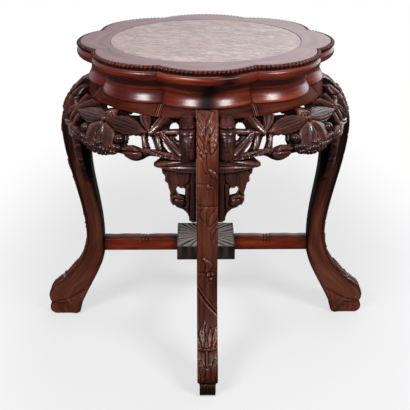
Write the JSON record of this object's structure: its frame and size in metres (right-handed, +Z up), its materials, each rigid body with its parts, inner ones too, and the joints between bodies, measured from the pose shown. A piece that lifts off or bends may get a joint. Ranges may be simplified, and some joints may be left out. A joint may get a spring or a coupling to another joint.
{
  "type": "four-legged display stand",
  "caption": "Low round carved hardwood display stand with a lobed marble-inset top, pierced aprons, cabriole legs and a cross stretcher.",
  "frame": {"origin": "on the floor, under the middle of the top", "axes": "+Z up, the four legs stand on the X and Y axes, the front one on -Y"},
  "size_m": [0.54, 0.54, 0.48],
  "materials": {
    "rosewood": "dark red-brown hardwood, stained and polished",
    "inner_wood": "unpolished hardwood on the hidden side",
    "block_wood": "dull carved hardwood, greyed with dust in the cuts",
    "marble": "honed pink-grey marble"
  },
  "bodies": {
    "root": {"marble_slab": "marble", "marble_batten_lower": "inner_wood", "marble_batten_upper": "inner_wood", "rim_segment_1": "rosewood", "waist_segment_1": "rosewood", "rim_segment_2": "rosewood", "waist_segment_2": "rosewood", "rim_segment_3": "rosewood", "waist_segment_3": "rosewood", "rim_segment_4": "rosewood", "waist_segment_4": "rosewood", "rim_segment_5": "rosewood", "waist_segment_5": "rosewood", "rim_segment_6": "rosewood", "waist_segment_6": "rosewood", "rim_segment_7": "rosewood", "waist_segment_7": "rosewood", "rim_segment_8": "rosewood", "waist_segment_8": "rosewood", "leg_right": "rosewood", "apron_back_right": "rosewood", "bracket_right_a": "rosewood", "bracket_right_b": "rosewood", "stretcher_arm_right": "rosewood", "leg_back": "rosewood", "apron_back_left": "rosewood", "bracket_back_a": "rosewood", "bracket_back_b": "rosewood", "stretcher_arm_back": "rosewood", "leg_left": "rosewood", "apron_front_left": "rosewood", "bracket_left_a": "rosewood", "bracket_left_b": "rosewood", "stretcher_arm_left": "rosewood", "leg_front": "rosewood", "apron_front_right": "rosewood", "bracket_front_a": "rosewood", "bracket_front_b": "rosewood", "stretcher_arm_front": "rosewood", "stretcher_block": "block_wood"}
  },
  "joints": []
}
